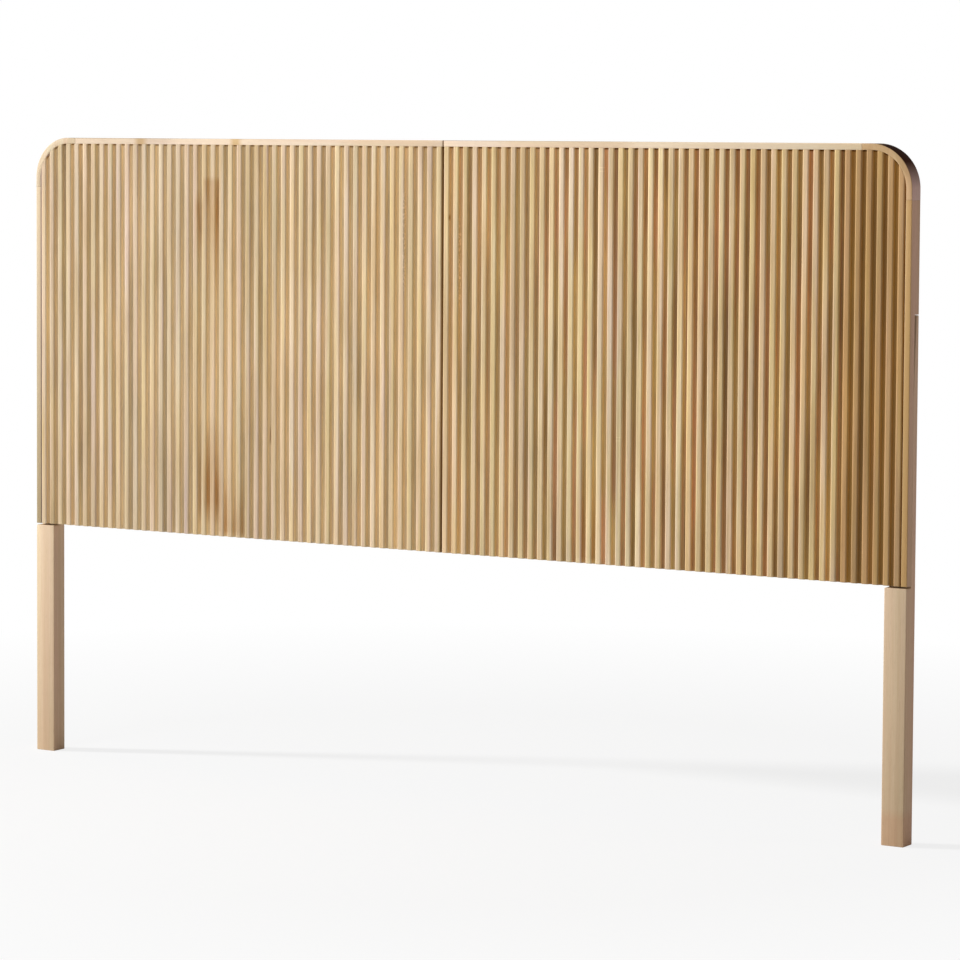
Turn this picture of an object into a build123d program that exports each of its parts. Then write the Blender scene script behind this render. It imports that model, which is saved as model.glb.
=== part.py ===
from build123d import *
import math
import os

# Headboard of two reeded half panels on two lapped legs, in millimetres.
# X runs across the bed, Y from the front to the back, Z up.
# The origin is on the floor, under the centre seam, halfway through the depth.

# Overall sizes
panel_width = 1668.0
panel_height = 670.0
panel_depth = 30.0
floor_clearance = 398.0
seam_gap = 0.8

# Reeded boards
board_thickness = 16.0
reed_pitch = 18.0
reed_depth = 4.0
reed_wall_angle = 60.0
reed_shoulder_radius = 2.9
groove_width = 4.4
first_groove = 15.0
left_joint_shares = (0.18, 0.38, 0.57, 0.77)
right_joint_shares = (0.2, 0.4, 0.53, 0.66, 0.87)

# Rim
rim_thickness = 10.0
corner_radius = 68.0
corner_piece_length = 85.0
rim_ease = 1.2

# Legs
leg_width = 38.0
shoulder_gap = 3.0
tongue_height = 411.0
tongue_taper_height = 125.0
tongue_taper_depth = 7.0
tongue_end_clearance = 1.0
leg_ease = 1.2

# Back rails and centre stiles
rail_width = 45.0
rail_thickness = 12.0
rail_end_clearance = 0.5
bottom_rail_inset = 10.0
stile_width = 40.0

# Leg bolts, washers and threaded inserts
leg_bolt_count = 3
leg_bolt_first = 50.0
leg_bolt_spacing = 100.0
leg_bolt_radius = 3.0
leg_bolt_head_radius = 5.8
leg_bolt_head_height = 4.0
washer_radius = 7.0
washer_thickness = 1.6
leg_recess_radius = 8.5
insert_radius = 4.8
insert_length = 9.0

# Seam dowels, connector bolts and sleeve nuts
seam_level_count = 5
seam_dowel_radius = 4.0
seam_dowel_length = 40.0
connector_shank_radius = 2.5
connector_sleeve_radius = 3.8
connector_head_radius = 5.5
connector_head_height = 2.5
connector_overlap = 12.0

# Rail screws
screw_head_radius = 3.8
screw_head_height = 2.6
screw_radius = 1.8
screw_length = 19.0

# Small fasteners and their holes are drawn with few flat sides
hexagon_sides = 6
shank_sides = 8
washer_sides = 12

# Shared clearances
fastener_clearance = 0.2
overrun = 5.0

# Derived levels and places
front = -panel_depth / 2
back = panel_depth / 2
half_width = panel_width / 2
seam_edge = seam_gap / 2
panel_bottom = floor_clearance
panel_top = floor_clearance + panel_height
board_outer = half_width - rim_thickness
board_top = panel_top - rim_thickness
board_width = board_outer - seam_edge
crest_plane = front
board_back = crest_plane + board_thickness
rail_back = board_back + rail_thickness
leg_inner = half_width - leg_width
leg_centre = half_width - leg_width / 2
shoulder = floor_clearance - shoulder_gap
tongue_top = panel_bottom + tongue_height
ledge = tongue_top + tongue_end_clearance
rim_joint_x = half_width - corner_piece_length
rim_joint_z = panel_top - corner_piece_length
stile_outer = seam_edge + stile_width
stile_middle_y = board_back + rail_thickness / 2
low_groove = -math.ceil(first_groove / reed_pitch)
high_groove = math.ceil((board_width - first_groove) / reed_pitch)
bottom_rail_z = panel_bottom + bottom_rail_inset + rail_width / 2
top_rail_z = board_top - rail_width / 2
middle_rail_z = (bottom_rail_z + top_rail_z) / 2
rail_levels = {"bottom": bottom_rail_z, "middle": middle_rail_z, "top": top_rail_z}
seam_level_step = (top_rail_z - bottom_rail_z) / (seam_level_count - 1)
seam_levels = [bottom_rail_z + i * seam_level_step for i in range(seam_level_count)]
dowel_levels = seam_levels[::2]
connector_levels = seam_levels[1::2]

LEFT = -1
RIGHT = 1
SIDES = {"left": LEFT, "right": RIGHT}


# Plain shapes
def block(x_limits, y_limits, z_limits):
    sizes = [abs(high - low) for low, high in (x_limits, y_limits, z_limits)]
    centre = [(low + high) / 2 for low, high in (x_limits, y_limits, z_limits)]
    return Pos(*centre) * Box(*sizes)


def prism(start, end, radius, sides):
    return taper_prism(start, end, radius, radius, sides)


def taper_prism(start, end, start_radius, end_radius, sides):
    axis = Vector(end) - Vector(start)
    start_face = Plane(start, z_dir=axis) * RegularPolygon(start_radius, sides)
    end_face = Plane(end, z_dir=axis) * RegularPolygon(end_radius, sides)
    return loft([start_face, end_face])


def cut_from(shape, tools):
    bounds = shape.bounding_box()
    near = [tool for tool in tools if bounds.overlaps(tool.bounding_box())]
    return shape - near if near else shape


# Outline of one half panel, drawn on its back and inset from the top and the outer side
def half_outline(side, inset, seam_x, bottom):
    outer = side * (half_width - inset)
    seam = side * seam_x
    top = panel_top - inset
    radius = corner_radius - inset
    arc_centre = Vector(outer - side * radius, top - radius)
    arc_middle = arc_centre + Vector(side, 1).normalized() * radius
    curve = ThreePointArc((arc_centre.X, top), arc_middle, (outer, arc_centre.Y))
    edges = [
        Line((seam, top), (arc_centre.X, top)),
        curve,
        Polyline((outer, arc_centre.Y), (outer, bottom), (seam, bottom), (seam, top)),
    ]
    back_plane = Plane((0, back, 0), x_dir=(1, 0, 0), z_dir=(0, -1, 0))
    return back_plane * make_face(edges)


# Reeded boards: flat reeds with rounded shoulders stand between flat-bottomed grooves.
# Grooves are counted from the board's own left edge, and staves meet in their middles
def board_left_edge(side):
    return seam_edge if side == RIGHT else -board_outer


def groove_x(side, index):
    return board_left_edge(side) + first_groove + index * reed_pitch


# Foot, wall top, shoulder middle and crest edge, measured from the groove's middle and the front
def reed_flank():
    slope = math.radians(reed_wall_angle)
    foot = groove_width / 2
    wall_height = reed_depth - reed_shoulder_radius * (1 - math.cos(slope))
    crest_edge = foot + wall_height / math.tan(slope) + reed_shoulder_radius * math.sin(slope)

    def on_shoulder(angle):
        across = crest_edge - reed_shoulder_radius * math.sin(angle)
        return across, reed_shoulder_radius * (1 - math.cos(angle))

    return [(foot, reed_depth)] + [on_shoulder(angle) for angle in (slope, slope / 2, 0)]


def reeded_profile(side, first, last):
    flank = reed_flank()
    start, end = groove_x(side, first), groove_x(side, last)
    floor = crest_plane + reed_depth
    corner = (start, floor)
    edges = []
    for index in range(first, last):
        left_groove, right_groove = groove_x(side, index), groove_x(side, index + 1)
        rising = [(left_groove + across, crest_plane + depth) for across, depth in flank]
        falling = [(right_groove - across, crest_plane + depth) for across, depth in flank[::-1]]
        edges.append(Polyline(corner, *rising[:2]))
        edges.append(ThreePointArc(*rising[1:]))
        edges.append(Line(rising[-1], falling[0]))
        edges.append(ThreePointArc(*falling[:-1]))
        edges.append(Line(*falling[-2:]))
        corner = falling[-1]
    edges.append(Polyline(corner, (end, floor), (end, board_back), (start, board_back), (start, floor)))
    return make_face(edges)


# A stave runs from groove to groove, and the outermost ones are trimmed to the board
def stave(side, first, last, holes):
    blank = Pos(0, 0, panel_bottom) * extrude(reeded_profile(side, first, last), board_top - panel_bottom)
    if first == low_groove or last == high_groove:
        board = extrude(half_outline(side, rim_thickness, seam_edge, panel_bottom), panel_depth)
        blank = blank & board
    return cut_from(blank, holes)


def stave_joints(side):
    shares = left_joint_shares if side == LEFT else right_joint_shares
    return [low_groove] + [round(share * high_groove) for share in shares] + [high_groove]


def stave_limits(side):
    joints = stave_joints(side)
    low_edge = board_left_edge(side)
    high_edge = low_edge + board_width
    places = [min(max(groove_x(side, joint), low_edge), high_edge) for joint in joints]
    return list(zip(places, places[1:]))


# Rim: a bent blank for each half, rebated for the leg's tongue and cut into three lengths
def eased_panel(side):
    panel = extrude(half_outline(side, 0, seam_edge, panel_bottom), panel_depth)
    eased = [min(panel.edges().filter_by(Axis.Y), key=lambda edge: abs(edge.center().X) - edge.center().Z)]
    for face in panel.faces().filter_by(Axis.Y):
        for edge in face.edges():
            middle = edge.center()
            if middle.Z > panel_bottom + rim_ease and abs(middle.X) > seam_edge + rim_ease:
                eased.append(edge)
    return chamfer(eased, rim_ease)


def rim_blank(side):
    hollow = half_outline(side, rim_thickness, -overrun, panel_bottom - overrun)
    rebate = block(
        (side * (leg_inner - overrun), side * (half_width + overrun)),
        (board_back, back + overrun),
        (panel_bottom - overrun, ledge),
    )
    return eased_panel(side) - extrude(hollow, panel_depth) - rebate


def rim_pieces(side, name):
    blank = rim_blank(side)
    deep = (front - overrun, back + overrun)
    far = side * (half_width + overrun)
    top = panel_top + overrun
    parts = {
        "top": block((0, side * rim_joint_x), deep, (board_top - overrun, top)),
        "corner": block((side * rim_joint_x, far), deep, (rim_joint_z, top)),
        "side": block((side * (board_outer - overrun), far), deep, (panel_bottom - overrun, rim_joint_z)),
    }
    return {f"{name}_rim_{part}": blank & cutter for part, cutter in parts.items()}


# Legs: full depth below the shoulder, a tapered tongue behind the board above it
def leg(side, holes):
    taper_start = tongue_top - tongue_taper_height
    outline = Polyline(
        (front, 0),
        (back, 0),
        (back, tongue_top),
        (board_back + tongue_taper_depth, tongue_top),
        (board_back, taper_start),
        (board_back, shoulder),
        (front, shoulder),
        (front, 0),
    )
    side_plane = Plane((min(side * leg_inner, side * half_width), 0, 0), x_dir=(0, 1, 0), z_dir=(1, 0, 0))
    body = extrude(side_plane * make_face(outline), leg_width)
    long_edges = [edge for edge in body.edges().filter_by(Axis.Z) if edge.bounding_box().min.Z < leg_ease]
    return cut_from(fillet(long_edges, leg_ease), holes)


# Back rails and centre stiles
def rail(side, level, holes):
    z = rail_levels[level]
    end = rim_joint_x if level == "top" else leg_inner - rail_end_clearance
    body = block(
        (side * (stile_outer + rail_end_clearance), side * end),
        (board_back, rail_back),
        (z - rail_width / 2, z + rail_width / 2),
    )
    return cut_from(body, holes)


def centre_stile(side, holes):
    body = block(
        (side * seam_edge, side * stile_outer),
        (board_back, rail_back),
        (panel_bottom + bottom_rail_inset, board_top),
    )
    return cut_from(body, holes)


# Leg fasteners: hexagon bolts and washers in recesses behind the tongue, inserts in the boards
def leg_bolt_places():
    heights = [panel_bottom + leg_bolt_first + leg_bolt_spacing * i for i in range(leg_bolt_count)]
    return [(side * leg_centre, z) for side in SIDES.values() for z in heights]


def leg_bolt(x, z):
    head_foot = back - leg_bolt_head_height
    head = prism((x, back, z), (x, head_foot, z), leg_bolt_head_radius, hexagon_sides)
    return head + prism((x, head_foot, z), (x, board_back - insert_length, z), leg_bolt_radius, shank_sides)


def leg_bolt_hole(x, z):
    seat = back - leg_bolt_head_height - washer_thickness
    recess = prism((x, back + overrun, z), (x, seat, z), leg_recess_radius, washer_sides)
    radius = leg_bolt_radius + fastener_clearance
    return recess + prism((x, seat, z), (x, board_back - overrun, z), radius, shank_sides)


def washer(x, z):
    seat = back - leg_bolt_head_height - washer_thickness
    disc = prism((x, seat + washer_thickness, z), (x, seat, z), washer_radius, washer_sides)
    radius = leg_bolt_radius + fastener_clearance
    return disc - prism((x, back, z), (x, board_back, z), radius, shank_sides)


def insert_blank(x, z, extra=0.0):
    tip = board_back - insert_length - extra
    return prism((x, board_back, z), (x, tip, z), insert_radius + extra, shank_sides)


def insert(x, z):
    bore_end = board_back - insert_length - overrun
    radius = leg_bolt_radius + fastener_clearance
    return insert_blank(x, z) - prism((x, back, z), (x, bore_end, z), radius, shank_sides)


# Seam fasteners run along X through both centre stiles
def seam_prism(z, low_x, high_x, radius, sides=shank_sides):
    return prism((low_x, stile_middle_y, z), (high_x, stile_middle_y, z), radius, sides)


def seam_dowel(z, extra=0.0):
    reach = seam_dowel_length / 2 + extra
    return seam_prism(z, -reach, reach, seam_dowel_radius + extra)


def connector_shank(z, extra=0.0):
    return seam_prism(z, -stile_outer, connector_overlap + extra, connector_shank_radius + extra)


def connector_bolt(z):
    head_face = -stile_outer - connector_head_height
    head = seam_prism(z, head_face, -stile_outer, connector_head_radius, washer_sides)
    return head + connector_shank(z)


def sleeve(z, extra=0.0):
    return seam_prism(z, seam_edge, stile_outer, connector_sleeve_radius + extra)


def sleeve_nut(z):
    head_face = stile_outer + connector_head_height
    head = seam_prism(z, stile_outer, head_face, connector_head_radius, washer_sides)
    return head + sleeve(z) - connector_shank(z, fastener_clearance)


# Rail screws hold every second stave, stile screws sit between the seam fasteners
def screw_places():
    places = []
    stile_heights = [(low + high) / 2 for low, high in zip(seam_levels, seam_levels[1:])]
    for side in SIDES.values():
        for low, high in stave_limits(side)[::2]:
            for level, z in rail_levels.items():
                far = side * (rim_joint_x if level == "top" else leg_inner)
                near_end, far_end = sorted((side * stile_outer, far))
                places.append(((max(low, near_end) + min(high, far_end)) / 2, z))
        for z in (stile_heights[0], stile_heights[-1]):
            places.append((side * (seam_edge + stile_outer) / 2, z))
    return places


def screw(x, z, extra=0.0):
    neck = rail_back - screw_head_height
    tip = rail_back - screw_length - extra
    head_radius, radius = screw_head_radius + extra, screw_radius + extra
    head = taper_prism((x, rail_back, z), (x, neck, z), head_radius, radius, hexagon_sides)
    return head + prism((x, neck, z), (x, tip, z), radius, hexagon_sides)


def build_parts():
    bolt_places = leg_bolt_places()
    places = screw_places()
    gap = fastener_clearance
    leg_holes = [leg_bolt_hole(x, z) for x, z in bolt_places]
    insert_holes = [insert_blank(x, z, gap) for x, z in bolt_places]
    screw_holes = [screw(x, z, gap) for x, z in places]
    seam_holes = [seam_dowel(z, gap) for z in dowel_levels]
    seam_holes += [connector_shank(z, gap) for z in connector_levels]
    seam_holes += [sleeve(z, gap) for z in connector_levels]

    parts = {}
    for name, side in SIDES.items():
        joints = stave_joints(side)
        for number, (first, last) in enumerate(zip(joints, joints[1:]), start=1):
            parts[f"{name}_stave_{number}"] = stave(side, first, last, insert_holes + screw_holes)
        parts.update(rim_pieces(side, name))
        parts[f"{name}_leg"] = leg(side, leg_holes)
        for level in rail_levels:
            parts[f"{name}_{level}_rail"] = rail(side, level, screw_holes)
        parts[f"{name}_centre_stile"] = centre_stile(side, seam_holes + screw_holes)
    groups = {
        "leg_bolts": [leg_bolt(x, z) for x, z in bolt_places],
        "leg_washers": [washer(x, z) for x, z in bolt_places],
        "leg_inserts": [insert(x, z) for x, z in bolt_places],
        "seam_dowels": [seam_dowel(z) for z in dowel_levels],
        "seam_bolts": [connector_bolt(z) for z in connector_levels],
        "seam_sleeve_nuts": [sleeve_nut(z) for z in connector_levels],
        "rail_screws": [screw(x, z) for x, z in places],
    }
    for name, solids in groups.items():
        parts[name] = Compound(children=[item.solid() for item in solids])
    return parts


os.makedirs("parts", exist_ok=True)
for node, shape in build_parts().items():
    export_step(shape, f"parts/{node}.step")
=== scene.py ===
import math

import bmesh
import bpy
from mathutils import Matrix, Vector


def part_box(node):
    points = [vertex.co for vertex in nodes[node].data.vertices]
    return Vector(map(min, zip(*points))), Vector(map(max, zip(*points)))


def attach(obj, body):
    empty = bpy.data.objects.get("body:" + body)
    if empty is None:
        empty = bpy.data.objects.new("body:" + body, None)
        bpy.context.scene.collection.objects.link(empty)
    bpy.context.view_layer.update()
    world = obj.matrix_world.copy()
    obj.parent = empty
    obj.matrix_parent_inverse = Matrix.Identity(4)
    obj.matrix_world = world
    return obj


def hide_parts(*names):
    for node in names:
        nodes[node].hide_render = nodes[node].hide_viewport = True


# Headboard scene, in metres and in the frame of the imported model.

# Reeded boards
reed_pitch = 0.018
reed_depth = 0.004
reed_wall_angle = math.radians(60)
reed_shoulder_radius = 0.0029
groove_width = 0.0044
groove_corner_radius = 0.0004
first_groove = 0.015
shoulder_steps = 10
corner_steps = 3
arris = 0.0004
groove_end_shade = 0.0034

# Rim and legs
corner_radius = 0.068
rim_thickness = 0.010
arc_steps = 28
rim_round = 0.0013
joint_round = 0.0003
leg_round = 0.0014
leg_end_share = 0.6
shoulder_gap = 0.003
tongue_taper_height = 0.125
tongue_taper_depth = 0.007
tongue_end_clearance = 0.001
leg_recess_radius = 0.0085
rail_round = 0.0006

# Fasteners
fastener_clearance = 0.0002
leg_bolt_radius = 0.003
bolt_head_radius = 0.0058
bolt_head_height = 0.004
washer_radius = 0.007
washer_thickness = 0.0016
connector_head_radius = 0.0055
connector_head_height = 0.0025
connector_radius = 0.0025
sleeve_radius = 0.0038
socket_radius = 0.002
socket_depth = 0.0018
screw_head_radius = 0.0038
screw_head_height = 0.0026
screw_radius = 0.0018
cross_width = 0.0009
cross_length = 0.0042
cross_depth = 0.0012
hexagon_sides = 6
round_sides = 36
weld_distance = 0.000001

# Edges sharper than this stay sharp in the shading, and are the ones that round_sharp rounds
sharp_angle = math.radians(35)

# Segments of a rounded edge, where a rule weighs it and where its angle decides
weighted_segments = 4
sharp_segments = 3

# Stage
floor_span = 30.0
floor_fade_start = 0.9
floor_fade_end = 2.2
floor_glow_share = 0.8
room_light_share = 0.2

# Lamps: place, point aimed at, diameter in metres, power in watts
LAMPS = {
    "key": ((-16.2, -7.2, 7.2), (0.0, 0.0, 0.7), 2.0, 4500.0),
    "fill": ((-0.75, -1.6, 0.9), (-0.6, 0.0, 0.7), 0.8, 5.0),
    "side": ((3.5, 0.9, 0.9), (0.8, 0.0, 0.6), 1.2, 11.0),
}

# Camera
camera_place = Vector((3.2879, -5.2194, 1.0758))
camera_yaw = math.radians(31.708)
camera_pitch = math.radians(3.703)
camera_roll = math.radians(0.354)
camera_lens = 142.5
camera_sensor = 36.0
camera_shift = -0.1024
camera_reach = 100.0


# Colours as linear red, green and blue
def rgb(red, green, blue):
    return (red, green, blue, 1.0)


CREST_STRAW = rgb(0.70, 0.575, 0.345)
CREST_ROSE = rgb(0.70, 0.54, 0.39)
CREST_TAN = rgb(0.55, 0.395, 0.215)
# Groove colours are copies of the wood, painted as it looks in the shade of the grooves
GROOVE_GOLD = rgb(0.87, 0.695, 0.44)
GROOVE_OLIVE = rgb(0.62, 0.44, 0.205)
GROOVE_RUSSET = rgb(0.63, 0.35, 0.20)
GROOVE_UMBER = rgb(0.33, 0.185, 0.075)
RIM_PALE = rgb(0.83, 0.70, 0.545)
RIM_DEEP = rgb(0.72, 0.56, 0.38)
LEG_PALE = rgb(0.72, 0.58, 0.41)
LEG_DEEP = rgb(0.60, 0.44, 0.29)
RAIL_PALE = rgb(0.66, 0.48, 0.29)
RAIL_DEEP = rgb(0.46, 0.29, 0.15)
PORE_COLOUR = rgb(0.16, 0.085, 0.04)
# Pale colour painted on rounded edges as a highlight
EDGE_HIGHLIGHT_COLOUR = rgb(0.86, 0.76, 0.60)
ZINC_DIM = rgb(0.52, 0.53, 0.55)
ZINC_BRIGHT = rgb(0.66, 0.67, 0.69)
FLOOR_DIM = rgb(0.86, 0.86, 0.86)
FLOOR_PALE = rgb(0.88, 0.88, 0.88)
WHITE = rgb(1.0, 1.0, 1.0)

# Tints are multiplied with the colour under them
FIBRE_TINT = rgb(0.95, 0.92, 0.87)
YELLOW_TINT = rgb(0.99, 1.0, 0.93)
ROSE_TINT = rgb(1.02, 0.95, 0.94)
AMBER_TINT = rgb(1.01, 0.96, 0.82)
MILKY_TINT = rgb(0.99, 1.01, 1.14)
# Right-hand faces tinted to the colour of their shade: painted shade
LEG_SHADED_SIDE_TINT = rgb(1.0, 0.89, 0.89)
RIM_SHADED_SIDE_TINT = rgb(1.06, 1.08, 1.85)
BOARD_FOOT_TINT = rgb(0.93, 0.93, 0.93)
# Painted shade: legs darker toward the floor
LEG_FOOT_SHADE_TINT = rgb(0.83, 0.81, 0.77)
RIM_FOOT_TINT = rgb(0.52, 0.52, 0.41)
# Painted shade on the upper right-hand bend of the rim corners
BEND_SHADE_TINT = rgb(0.11, 0.045, 0.03)
# Painted shade at the groove ends under the rim
GROOVE_END_SHADE_TINT = rgb(0.30, 0.19, 0.07)
GOLDEN_TINT = rgb(1.02, 1.03, 0.62)
# Painted light on reed walls that face right
WALL_LIGHT_TINT = rgb(1.13, 1.12, 1.03)
STAIN_TINT = rgb(0.66, 0.47, 0.28)
FAINT_STAIN_TINT = rgb(0.80, 0.68, 0.52)
SMEAR_TINT = rgb(0.80, 0.68, 0.44)
SHADE_TINT = rgb(0.81, 0.80, 0.79)
DIM_TINT = rgb(0.88, 0.87, 0.89)
HONEY_TINT = rgb(0.98, 0.93, 0.84)
CRACK_TINT = rgb(0.45, 0.34, 0.25)
FLECK_TINT = rgb(0.62, 0.48, 0.30)
SEAM_TINT = rgb(0.34, 0.24, 0.14)
PALE_DASH_TINT = rgb(1.15, 1.18, 1.2)
SPECKLE_TINT = rgb(1.36, 1.42, 1.6)
DAMP_TINT = rgb(0.98, 0.88, 0.85)

# Growth rings round a pith behind the piece, and the shift that gives each piece wood of its own
board_ring_size = 0.006
plain_ring_size = 0.008
ring_bend = 0.075
RING_BEND_COUNTS = (1.1, 9.0)
pith_step = 0.12
pith_span = 0.11
pith_depth = 0.085
late_wood_power = 3.0
PIECE_SHIFT = (31.0, 17.0, 23.0)

# Bands: counts per metre across and along the grain, noise where they start and are full, any other detail
CREST_ROSY_BANDS = (78.0, 2.6, 0.40, 0.60)
CREST_BROWN_BANDS = (120.0, 5.0, 0.46, 0.76, 4.0)
GROOVE_RUSSET_BANDS = (60.0, 4.0, 0.42, 0.58)
GROOVE_DARK_BANDS = (52.0, 3.4, 0.44, 0.68, 4.0)
GROOVE_SPREAD_BANDS = (65.0, 3.0, 0.3, 0.7)
MILKY_BANDS = (56.0, 3.0, 0.36, 0.64)
REED_TONE_BANDS = (60.0, 0.8, 0.34, 0.66)
LENGTH_TONE_BANDS = (64.0, 4.5, 0.32, 0.68)
STAIN_BANDS = (70.0, 3.0, 0.3, 0.55)
SPECKLE_BANDS = (500.0, 260.0, 0.49, 0.56)
PLAIN_FINE_BANDS = (95.0, 1.6, 0.42, 0.95, 4.0)
PLAIN_WIDE_BANDS = (16.0, 0.9, 0.35, 1.1)
PLAIN_ROSY_BANDS = (45.0, 1.3, 0.35, 0.65)
PORE_BANDS = (1900.0, 60.0, 0.62, 0.74, 2.0)
FIBRE_COUNTS = (14.0, 1300.0)
fine_detail = 3.0
fibre_roughness = 0.6
band_roughness = 0.55
noise_middle = 0.5

# How much of each pattern shows
crest_brown_share = 0.85
crest_late_share = 0.22
groove_dark_share = 0.85
groove_amber_share = 0.6
plain_late_share = 0.3
pore_share = 0.3
board_edge_highlight_share = 0.12
plain_edge_highlight_share = 0.25
short_groove_end_shade_share = 0.75
crest_stain_share = 0.55
CREST_SWING_SHARES = (0.21, 0.29)
GROOVE_TONE_SHARES = (0.62, 1.24)

# A reed's tone adds up two patterns of bands, each from 0 to 1
tone_middle = 1.0
tone_full = 2.0

# Where the painted groove shade starts and is full, as shares of the reeds' depth, and how unevenly it
# starts
groove_start_share = 0.3
groove_full_share = 0.85
groove_spread = 0.0012

# How far a surface faces right or upward where a tint starts and is full
SIDE_FACING = (0.6, 0.95)
WALL_FACING = (0.35, 0.85)
BEND_UPWARD = (0.0, 0.6)
BEND_RIGHTWARD = (0.02, 0.25)

# How nearly the rounded normal agrees with the flat one where the painted edge highlight starts and is full
EDGE_HIGHLIGHT_FACING = (0.99, 0.85)

# Noise of the fibres at which their tint, and then their roughness, starts and is full
FIBRE_TINT_LIMITS = (0.35, 0.65)
FIBRE_ROUGHNESS_LIMITS = (0.3, 0.7)

# Gloss and relief
WOOD_ROUGHNESS = (0.47, 0.62)
ZINC_ROUGHNESS = (0.24, 0.42)
floor_roughness = 0.8
wood_gloss = 0.35
painted_shade_gloss = 0.05
edge_bevel_width = 0.0009
edge_bevel_samples = 4
grain_relief = 0.0003
grain_strength = 0.25
fibre_relief_share = 0.6
late_relief_share = 0.4
pore_relief_share = 0.5
scratch_relief = 0.0001
scratch_strength = 0.15
SCRATCH_COUNTS = (120.0, 2400.0)
haze_count = 240.0
HAZE_LIMITS = (0.3, 0.7)
speckle_count = 30.0

# Marks in the wood: limits across, limits in height, feathers at the sides, the top and the foot, tint
EVERY_HEIGHT = (-1.0, 2.0)
hard_edge = 0.001
golden_feather = 0.002


# A mark as high as the piece that has it
def upright_mark(left, right, feather, tint):
    return (left, right), EVERY_HEIGHT, (feather, hard_edge, hard_edge), tint


STAINS = [
    ((-0.477, -0.447), (0.780, 1.006), (0.003, 0.010, 0.160), STAIN_TINT),
    ((-0.495, -0.477), (0.860, 0.985), (0.003, 0.030, 0.090), STAIN_TINT),
    ((-0.488, -0.440), (0.415, 0.600), (0.004, 0.110, 0.040), STAIN_TINT),
    ((-0.446, -0.396), (0.398, 0.500), (0.004, 0.080, 0.010), STAIN_TINT),
    ((0.255, 0.290), (0.398, 0.560), (0.004, 0.090, 0.010), FAINT_STAIN_TINT),
]
SPECKLED_LINES = [
    ((-0.0775, -0.0740), (0.810, 0.995), (0.0010, 0.030, 0.030), SPECKLE_TINT),
    ((0.0290, 0.0325), (0.790, 0.950), (0.0010, 0.030, 0.030), SPECKLE_TINT),
]
SMALL_MARKS = [
    ((-0.3424, -0.3404), (0.556, 0.592), (0.0008, 0.012, 0.010), CRACK_TINT),
    ((-0.0696, -0.0676), (0.500, 0.530), (0.0008, 0.012, 0.012), FLECK_TINT),
    ((0.0105, 0.0128), (0.937, 0.950), (0.0008, 0.005, 0.005), FLECK_TINT),
    ((0.2915, 0.3005), (1.0260, 1.0275), (0.0010, 0.0004, 0.0004), PALE_DASH_TINT),
    ((0.2915, 0.3005), (1.0205, 1.0220), (0.0010, 0.0004, 0.0004), PALE_DASH_TINT),
    ((0.3245, 0.3340), (0.6010, 0.6025), (0.0010, 0.0004, 0.0004), PALE_DASH_TINT),
    ((0.3245, 0.3340), (0.5955, 0.5970), (0.0010, 0.0004, 0.0004), PALE_DASH_TINT),
    upright_mark(-0.0030, 0.0014, 0.0008, SEAM_TINT),
]
RIM_MARKS = [
    upright_mark(-0.619, -0.599, 0.006, SMEAR_TINT),
    upright_mark(-0.420, -0.402, 0.005, SMEAR_TINT),
    upright_mark(-0.840, -0.560, 0.120, SHADE_TINT),
    upright_mark(-0.625, -0.545, 0.015, DIM_TINT),
    upright_mark(-0.190, 0.000, 0.030, HONEY_TINT),
    upright_mark(0.000, 0.345, 0.030, DIM_TINT),
    upright_mark(0.115, 0.345, 0.020, HONEY_TINT),
    upright_mark(0.700, 0.900, 0.040, HONEY_TINT),
    upright_mark(-0.0018, 0.0012, 0.0006, SEAM_TINT),
]
LEG_MARKS = [
    ((0.700, 0.900), (-0.010, 0.058), (0.002, 0.016, 0.001), DAMP_TINT),
]

# Tint and own share of each piece; the share steers a stave's grooves and tones, and a rim side's dark foot
STAVE_TINTS = {
    "left_stave_1": ((0.940, 0.925, 0.900), 0.35),
    "left_stave_2": ((0.934, 0.914, 0.930), 0.05),
    "left_stave_3": ((0.945, 0.912, 0.868), 0.10),
    "left_stave_4": ((1.000, 0.980, 0.960), 0.25),
    "left_stave_5": ((1.010, 0.977, 0.918), 0.28),
    "right_stave_1": ((1.008, 0.968, 0.842), 0.65),
    "right_stave_2": ((1.078, 1.072, 1.005), 1.0),
    "right_stave_3": ((1.078, 1.055, 0.942), 1.0),
    "right_stave_4": ((1.018, 0.952, 0.814), 1.0),
    "right_stave_5": ((0.978, 0.911, 0.745), 1.0),
    "right_stave_6": ((0.700, 0.540, 0.326), 0.60),
}
RIM_TINTS = {
    "left_rim_top": ((1.03, 1.05, 1.09), 1.0),
    "left_rim_corner": ((0.85, 0.84, 0.80), 1.0),
    "left_rim_side": ((0.91, 0.91, 0.86), 1.0),
    "right_rim_top": ((1.09, 1.12, 1.16), 1.0),
    "right_rim_corner": ((0.73, 0.60, 0.41), 1.0),
    "right_rim_side": ((0.74, 0.57, 0.31), 0.35),
}
LEG_TINTS = {"left": (1.0, 1.0, 1.0), "right": (0.94, 0.92, 0.92)}

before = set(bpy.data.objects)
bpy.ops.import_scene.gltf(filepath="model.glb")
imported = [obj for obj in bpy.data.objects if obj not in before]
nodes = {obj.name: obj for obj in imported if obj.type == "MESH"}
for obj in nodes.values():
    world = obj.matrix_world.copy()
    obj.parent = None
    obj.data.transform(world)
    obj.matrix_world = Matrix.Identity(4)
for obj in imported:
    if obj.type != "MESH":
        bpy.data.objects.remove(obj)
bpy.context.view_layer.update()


def low(node):
    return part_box(node)[0]


def high(node):
    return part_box(node)[1]


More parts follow.
